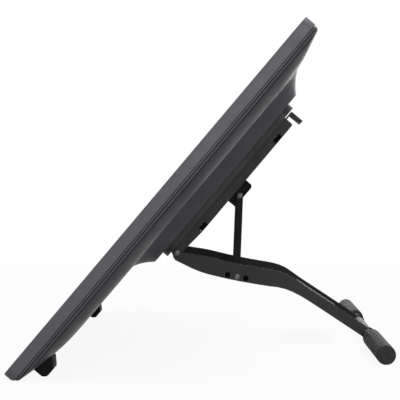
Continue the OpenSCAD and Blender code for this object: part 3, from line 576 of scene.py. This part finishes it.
def back_depth(x, u, wall, blend=1.5):
    """Depth of the back at a point: the crown and the raised middle, with a soft hollow between them."""
    low, high = 0.0, 1.0
    for _ in range(18):
        t = (low + high) / 2
        low, high = (t, high) if outside(crown_sides(t), x, u) < 0 else (low, t)
    crown = crown_depth(low)
    s = outside(bulge_sides(0), x, u)
    bulge = BULGE_V - max(wall[0][1] + (s - wall[0][0]) * math.tan(COVE_FOOT), 0)
    for (s1, drop1), (s0, drop0) in zip(wall, wall[1:]):
        if s0 <= s <= s1:
            bulge = BULGE_V - drop0 - (drop1 - drop0) * (s - s0) / (s1 - s0)
    if s < wall[-1][0]:
        bulge = BULGE_V
    near = max(blend - abs(crown - bulge), 0)
    return max(crown, bulge) + near * near / (4 * blend)


def cover_body(along=9):
    """The whole back as one skin: edge, crown, hollow and raised middle."""
    wall = bulge_wall()
    outer = rounded_outline(*crown_sides(CROWN_START), along=along)
    foot = rounded_outline(*bulge_sides(COVE_OUT), along=along)
    lines = [[a.lerp(b, 1 - (1 - k / 40) ** 1.25) for a, b in zip(outer, foot)] for k in range(41)]
    lines += [rounded_outline(*bulge_sides(COVE_OUT - 0.8 * k), along=along) for k in range(1, 32)]
    lines += [rounded_outline(*bulge_sides(s), along=along) for s, drop in wall[-7:]]
    rings = [[on_slab(x, u, back_depth(x, u, wall)) for x, u in line] for line in lines]
    return skin(edge_rings(along) + rings)


def screw_hole(x, u):
    """Counterbored hole in the cover's flat."""
    profile = [(-1, SCREW_HEAD_R), (SCREW_SINK, SCREW_HEAD_R), (SCREW_SINK, SCREW_R), (FLAT_V, SCREW_R)]
    return lathe(profile, on_slab(x, u, FLAT_V), INTO_BACK, 32)


def rear_cover():
    """Hollow shell of the back, open toward the screen."""
    cover = new_object("rear_cover_shell", cover_body())
    mouth = rounded_ring(*crown_sides(0, WALL), MID_BACK - 1)
    hollow = new_object("hollow", skin([mouth] + crown_rings(WALL, 10)))
    carve(hollow, bulge_body(WALL), "UNION")
    inner = bmesh.new()
    inner.from_mesh(hollow.data)
    bpy.data.objects.remove(hollow)
    carve(cover, inner)
    carve(cover, slab_box(-BAY_X - 40, -BAY_X, BAY_U - BAY_LEN / 2, BAY_U + BAY_LEN / 2, FLAT_V + 1,
                          BULGE_V - WALL))
    holes = bmesh.new()
    for x, u in COVER_SCREWS:
        one = bpy.data.meshes.new("hole")
        screw_hole(x, u).to_mesh(one)
        holes.from_mesh(one)
        bpy.data.meshes.remove(one)
    carve(cover, holes)
    stand_flat(cover)
    smooth(cover, 28)
    piece(cover, finishes["cover_plastic"], "display", "cover_plastic", "rear_cover")


def socket_bay():
    """Lining of the recess that the sockets open into."""
    u0, u1, v0, v1 = BAY_U - BAY_LEN / 2, BAY_U + BAY_LEN / 2, FLAT_V + 1, BULGE_V - WALL
    bay = new_object("socket_bay", slab_box(-163, -BAY_X + WALL, u0 - 1, u1 + 1, v0 - 0.8, v1 - 0.02))
    carve(bay, slab_box(-180, -BAY_X, u0 + 0.05, u1 - 0.05, v0 + 0.02, v1 + 2))
    for i, (w, h) in enumerate(SOCKET_MOUTHS):
        u = BAY_U + (i - 1) * PORT_PITCH
        carve(bay, slab_box(-BAY_X - 5, -BAY_X + 9, u - w / 2, u + w / 2, PORT_V - h / 2,
                            PORT_V + h / 2))
    smooth(bay, 28)
    piece(bay, finishes["black_plastic"], "display", "black_plastic")


# Front frame and glass: rounded edges that catch the light


def front_frame():
    """The band round the screen, with its ledge for the glass and the openings for the keys."""
    def corner(d, v, r, a0, a1, n=5):
        return [(d + r * math.cos(math.radians(a0 + (a1 - a0) * k / n)),
                 v + r * math.sin(math.radians(a0 + (a1 - a0) * k / n))) for k in range(n + 1)]
    inner = RIM_W + LEDGE_W
    profile = (corner(0.8, 0.8, 0.8, 180, 270) + corner(RIM_W - 0.2, 0.2, 0.2, 270, 360, 3)
               + [(RIM_W, GLASS_T), (inner, GLASS_T), (inner, GLASS_T + LEDGE_T),
                  (FRAME_WALL, GLASS_T + LEDGE_T), (FRAME_WALL, MID_V), (SEAM_IN, MID_V), (SEAM_IN, FRAME_V)]
               + corner(0.4, FRAME_V - 0.4, 0.4, 90, 180))
    band = new_object("front_band", skin([inset_ring(d, v, 14) for d, v in profile], tube=True))
    for i in range(4):
        x = -KEY_X + (i - 1) * KEY_PITCH
        carve(band, slab_box(x - KEY_W / 2 - KEY_FIT, x + KEY_W / 2 + KEY_FIT, BODY_H - 4.5, BODY_H + 4.5,
                             KEY_V - KEY_H / 2 - KEY_FIT, KEY_V + KEY_H / 2 + KEY_FIT))
    stand_flat(band)
    smooth(band, 30)
    piece(band, finishes["frame_paint"], "display", "frame_paint", "front_frame")


def front_glass():
    """Sheet of cover glass with a ground front edge."""
    d = RIM_W + 0.15
    sheet = new_object("cover_sheet", skin([inset_ring(d, GLASS_T), inset_ring(d, 0.22),
                                            inset_ring(d + 0.07, 0.07), inset_ring(d + 0.22, 0.0)]))
    smooth(sheet, 25)
    piece(sheet, finishes["cover_glass"], "display", "cover_glass", "front_glass")


# Rubber feet: rounded blocks cut to the crowned back


def foot(side, node):
    """One foot, worn flat where it stands."""
    arc = [math.radians(90 * k / 10) for k in range(11)]
    rounding = [(FOOT_U0 + FOOT_R * (1 - math.cos(a)), FOOT_V - FOOT_R * (1 - math.sin(a))) for a in arc]
    outline = ([(FOOT_U0, COVER_V + 1)] + rounding
               + [(FOOT_U1 - 6, FOOT_V), (FOOT_U1, FOOT_V - 6), (FOOT_U1, COVER_V + 1)])
    ends = (side * FOOT_X - FOOT_LEN / 2, side * FOOT_X + FOOT_LEN / 2)
    block = new_object(node + "_rubber", skin([[on_slab(x, u, v) for u, v in outline] for x in ends]))
    edge = block.modifiers.new("edge", "BEVEL")
    edge.width, edge.segments, edge.limit_method, edge.angle_limit = 0.0013, 5, "ANGLE", math.radians(40)
    flatten_modifiers(block)
    carve(block, crown_body())
    press_flat(block)
    smooth(block, 40)
    piece(block, finishes["foot_rubber"], "display", "foot_rubber", node)


# Repeats: ribs round the sleeves and rivet heads on the pins


def geometry_tree(name, inputs):
    """A tree of Geometry Nodes with its input and output sockets."""
    tree = bpy.data.node_groups.new(name, "GeometryNodeTree")
    tree.interface.new_socket("Geometry", in_out="INPUT", socket_type="NodeSocketGeometry")
    for label, kind in inputs:
        tree.interface.new_socket(label, in_out="INPUT", socket_type="NodeSocket" + kind)
    tree.interface.new_socket("Geometry", in_out="OUTPUT", socket_type="NodeSocketGeometry")
    return tree, tree.nodes.new("NodeGroupInput").outputs, tree.nodes.new("NodeGroupOutput").inputs


def run_tree(obj, tree, values):
    """Sets a tree's named inputs on an object and keeps the result as a plain mesh."""
    mod = obj.modifiers.new(tree.name, "NODES")
    mod.node_group = tree
    for item in tree.interface.items_tree:
        if item.in_out == "INPUT" and item.name in values:
            mod[item.identifier] = values[item.name]
    flatten_modifiers(obj)


def rib_tree():
    """Half-round ribs set round a sleeve, along its whole length."""
    tree, given, out = geometry_tree("sleeve_ribs", (("Ribs", "Int"), ("Circle", "Float"), ("Rib", "Float"),
                                                     ("Length", "Float"), ("Centre", "Vector"),
                                                     ("Rubber", "Material")))
    make, link = tree.nodes.new, tree.links.new
    circle = make("GeometryNodeCurvePrimitiveCircle")
    link(given["Circle"], circle.inputs["Radius"])
    points = make("GeometryNodeCurveToPoints")
    link(circle.outputs["Curve"], points.inputs["Curve"])
    link(given["Ribs"], points.inputs["Count"])
    rib = make("GeometryNodeMeshCylinder")
    rib.inputs["Vertices"].default_value = 10
    link(given["Rib"], rib.inputs["Radius"])
    link(given["Length"], rib.inputs["Depth"])
    ribs = make("GeometryNodeInstanceOnPoints")
    link(points.outputs["Points"], ribs.inputs["Points"])
    link(rib.outputs["Mesh"], ribs.inputs["Instance"])
    place = make("GeometryNodeTransform")
    place.inputs["Rotation"].default_value = (0, math.radians(90), 0)
    link(given["Centre"], place.inputs["Translation"])
    link(ribs.outputs["Instances"], place.inputs["Geometry"])
    join = make("GeometryNodeJoinGeometry")
    real = make("GeometryNodeRealizeInstances")
    paint = make("GeometryNodeSetMaterial")
    link(place.outputs["Geometry"], join.inputs["Geometry"])
    link(given["Geometry"], join.inputs["Geometry"])
    link(join.outputs["Geometry"], real.inputs["Geometry"])
    link(real.outputs["Geometry"], paint.inputs["Geometry"])
    link(given["Rubber"], paint.inputs["Material"])
    link(paint.outputs["Geometry"], out["Geometry"])
    return tree


def sleeve(side, node, tree):
    """Rubber sleeve with fine lengthwise ribs, closed at its outer end and worn flat where it stands."""
    centre = on_leg(0, LEG_LEN, 0)
    outer, core, bore = TUBE_X + SLEEVE_END, SLEEVE_R - 0.2, TUBE_R + 0.06
    start = outer - SLEEVE_LEN
    round_end = [(outer - 0.9 * (1 - math.sin(a)), core - 0.9 * (1 - math.cos(a)))
                 for a in (math.radians(90 * k / 6) for k in range(7))]
    profile = ([(TUBE_X + 0.05, 0.02), (TUBE_X + 0.05, bore), (start, bore), (start, core - 0.5),
                (start + 0.5, core)] + round_end + [(outer, 0.02)])
    turn = ALONG_X if side > 0 else Matrix.Rotation(math.radians(-90), 4, "Y")
    grip = new_object(node + "_grip", lathe(profile, centre, turn, 90))
    run_tree(grip, tree, {"Ribs": RIBS, "Circle": (SLEEVE_R - RIB_R) / 1000, "Rib": RIB_R / 1000,
                          "Length": (SLEEVE_LEN - 2.0) / 1000, "Rubber": finishes["sleeve_rubber"],
                          "Centre": centre + Vector((side * (start + outer) / 2000, 0, 0))})
    press_flat(grip)
    smooth(grip, 40)
    piece(grip, finishes["sleeve_rubber"], "leg", "sleeve_rubber", node)


def rivet_tree():
    """Domed heads on the points of a pin, each turned outward."""
    tree, given, out = geometry_tree("rivet_heads", (("Head", "Float"), ("Rise", "Float"),
                                                     ("Steel", "Material")))
    make, link = tree.nodes.new, tree.links.new
    dome = make("GeometryNodeMeshUVSphere")
    dome.inputs["Segments"].default_value = 40
    dome.inputs["Rings"].default_value = 20
    link(given["Head"], dome.inputs["Radius"])
    ratio = make("ShaderNodeMath")
    ratio.operation = "DIVIDE"
    link(given["Rise"], ratio.inputs[0])
    link(given["Head"], ratio.inputs[1])
    size = make("ShaderNodeCombineXYZ")
    size.inputs["X"].default_value = 1.0
    size.inputs["Y"].default_value = 1.0
    link(ratio.outputs["Value"], size.inputs["Z"])
    low = make("GeometryNodeTransform")
    link(dome.outputs["Mesh"], low.inputs["Geometry"])
    link(size.outputs["Vector"], low.inputs["Scale"])
    outward = make("GeometryNodeInputNamedAttribute")
    outward.data_type = "FLOAT_VECTOR"
    outward.inputs["Name"].default_value = "outward"
    aim = make("FunctionNodeAlignRotationToVector")
    aim.axis = "Z"
    link(outward.outputs["Attribute"], aim.inputs["Vector"])
    heads = make("GeometryNodeInstanceOnPoints")
    link(given["Geometry"], heads.inputs["Points"])
    link(low.outputs["Geometry"], heads.inputs["Instance"])
    link(aim.outputs["Rotation"], heads.inputs["Rotation"])
    real = make("GeometryNodeRealizeInstances")
    paint = make("GeometryNodeSetMaterial")
    link(heads.outputs["Instances"], real.inputs["Geometry"])
    link(real.outputs["Geometry"], paint.inputs["Geometry"])
    link(given["Steel"], paint.inputs["Material"])
    link(paint.outputs["Geometry"], out["Geometry"])
    return tree


def pin(node, centre, seat, body, tree):
    """Pin with a shaft through its bores and a domed head outside each outer plate."""
    heads = bmesh.new()
    for side in (-1, 1):
        heads.verts.new(centre + Vector((side * seat / 1000, 0, 0)))
    rivets = new_object(node + "_heads", heads)
    facing = rivets.data.attributes.new("outward", "FLOAT_VECTOR", "POINT")
    for i, side in enumerate((-1, 1)):
        facing.data[i].vector = (side, 0, 0)
    run_tree(rivets, tree, {"Head": HEAD_R / 1000, "Rise": HEAD_T / 1000, "Steel": finishes["pin_steel"]})
    smooth(rivets, 60)
    piece(rivets, finishes["pin_steel"], body, "pin_steel")
    shaft = new_object(node + "_shaft", lathe([(-seat, 0.01), (-seat, PIN_R), (seat, PIN_R), (seat, 0.01)],
                                              centre, ALONG_X, 40))
    smooth(shaft, 30)
    piece(shaft, finishes["pin_steel"], body, "pin_steel", node)


rear_cover()
socket_bay()
front_frame()
front_glass()
foot(-1, "foot_left")
foot(1, "foot_right")
ribs = rib_tree()
sleeve(-1, "sleeve_left", ribs)
sleeve(1, "sleeve_right", ribs)
rivets = rivet_tree()
pin("hinge_pin", Vector((0, HINGE_Y, HINGE_Z)) / 1000, ARM_OUT, "leg", rivets)
pin("strut_pin", on_leg(0, PIVOT_S, PIVOT_H), ARM_OUT, "leg", rivets)
low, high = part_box("carriage_pin")
pin("carriage_pin", (low + high) / 2, STRUT_OUT, "strut", rivets)

# Studio: pale floor, white surroundings, three large soft lamps


def seen_rays(tree):
    """1 for rays that show the surroundings: straight from the camera, in a reflection or through glass."""
    path = tree.nodes.new("ShaderNodeLightPath")
    value = path.outputs["Is Camera Ray"]
    for kind in ("Is Glossy Ray", "Is Transmission Ray"):
        either = tree.nodes.new("ShaderNodeMath")
        either.operation = "MAXIMUM"
        tree.links.new(value, either.inputs[0])
        tree.links.new(path.outputs[kind], either.inputs[1])
        value = either.outputs["Value"]
    return value


def studio():
    """White surroundings, a floor that keeps the shadow and fades into them, and the lamps."""
    world = bpy.data.worlds.new("studio")
    scene.world = world
    world.use_nodes = True
    tree = world.node_tree
    tree.nodes.clear()
    seen = seen_rays(tree)
    white = tree.nodes.new("ShaderNodeBackground")
    white.inputs["Color"].default_value = (1, 1, 1, 1)
    soft = tree.nodes.new("ShaderNodeBackground")
    soft.inputs["Color"].default_value = (0.95, 0.97, 1.0, 1)
    soft.inputs["Strength"].default_value = 0.12
    both = tree.nodes.new("ShaderNodeMixShader")
    tree.links.new(seen, both.inputs["Fac"])
    tree.links.new(soft.outputs["Background"], both.inputs[1])
    tree.links.new(white.outputs["Background"], both.inputs[2])
    out = tree.nodes.new("ShaderNodeOutputWorld")
    tree.links.new(both.outputs["Shader"], out.inputs["Surface"])

    paper = bpy.data.materials.new("floor_paper")
    paper.use_nodes = True
    tree = paper.node_tree
    seen = seen_rays(tree)
    bsdf = tree.nodes["Principled BSDF"]
    bsdf.inputs["Roughness"].default_value = 0.9
    tone = tree.nodes.new("ShaderNodeMapRange")
    tone.inputs["To Min"].default_value, tone.inputs["To Max"].default_value = 0.15, 0.9
    tree.links.new(seen, tone.inputs["Value"])
    tree.links.new(tone.outputs["Result"], bsdf.inputs["Base Color"])
    reach = tree.nodes.new("ShaderNodeVectorMath")
    reach.operation = "LENGTH"
    tree.links.new(tree.nodes.new("ShaderNodeTexCoord").outputs["Object"], reach.inputs[0])
    share = tree.nodes.new("ShaderNodeMapRange")
    for name, value in (("From Min", 0.4), ("From Max", 1.6), ("To Min", 0.92), ("To Max", 1.0)):
        share.inputs[name].default_value = value
    tree.links.new(reach.outputs["Value"], share.inputs["Value"])
    part = tree.nodes.new("ShaderNodeMath")
    part.operation = "MULTIPLY"
    tree.links.new(seen, part.inputs[0])
    tree.links.new(share.outputs["Result"], part.inputs[1])
    white = tree.nodes.new("ShaderNodeEmission")
    both = tree.nodes.new("ShaderNodeMixShader")
    tree.links.new(part.outputs["Value"], both.inputs["Fac"])
    tree.links.new(bsdf.outputs["BSDF"], both.inputs[1])
    tree.links.new(white.outputs["Emission"], both.inputs[2])
    tree.links.new(both.outputs["Shader"], tree.nodes["Material Output"].inputs["Surface"])
    bm = bmesh.new()
    bmesh.ops.create_circle(bm, cap_ends=True, segments=96, radius=2.4)
    floor = new_object("floor", bm)
    floor.data.materials.append(paper)

    for name, at, aim, size, power in (("top_lamp", (0.2, 0.9, 2.3), (0, 0.05, 0.12), 1.4, 30),
                                       ("side_lamp", (3.0, 0.55, 0.5), (0, 0, 0.12), 1.4, 44),
                                       ("far_lamp", (-2.4, 0.5, 0.6), (0, 0, 0.15), 2.2, 26)):
        lamp = bpy.data.lights.new(name, "AREA")
        lamp.size, lamp.energy = size, power
        obj = bpy.data.objects.new(name, lamp)
        obj.location = at
        obj.rotation_euler = (Vector(aim) - Vector(at)).to_track_quat("-Z", "Y").to_euler()
        scene.collection.objects.link(obj)


def camera():
    """Level view along the width, from the side that the photograph shows."""
    lens = bpy.data.cameras.new("camera")
    lens.lens, lens.sensor_width, lens.sensor_fit = LENS_MM, SENSOR_MM, "HORIZONTAL"
    lens.clip_end = 50
    right = Vector((0, math.cos(ROLL), -math.sin(ROLL)))
    up = Vector((0, math.sin(ROLL), math.cos(ROLL)))
    focal_px = PICTURE_PX * lens.lens / lens.sensor_width
    ahead = Vector((-1, 0, 0)) - right * (SHIFT_RIGHT_PX / focal_px) - up * (SHIFT_UP_PX / focal_px)
    ahead.normalize()
    right = (right - ahead * right.dot(ahead)).normalized()
    up = right.cross(ahead)
    eye = on_slab(EYE_X, EYE_U, EYE_V)
    obj = bpy.data.objects.new("camera", lens)
    obj.matrix_world = Matrix.Translation(eye) @ Matrix((right, up, -ahead)).transposed().to_4x4()
    scene.collection.objects.link(obj)
    scene.camera = obj


studio()
camera()
scene.view_settings.view_transform = "Standard"
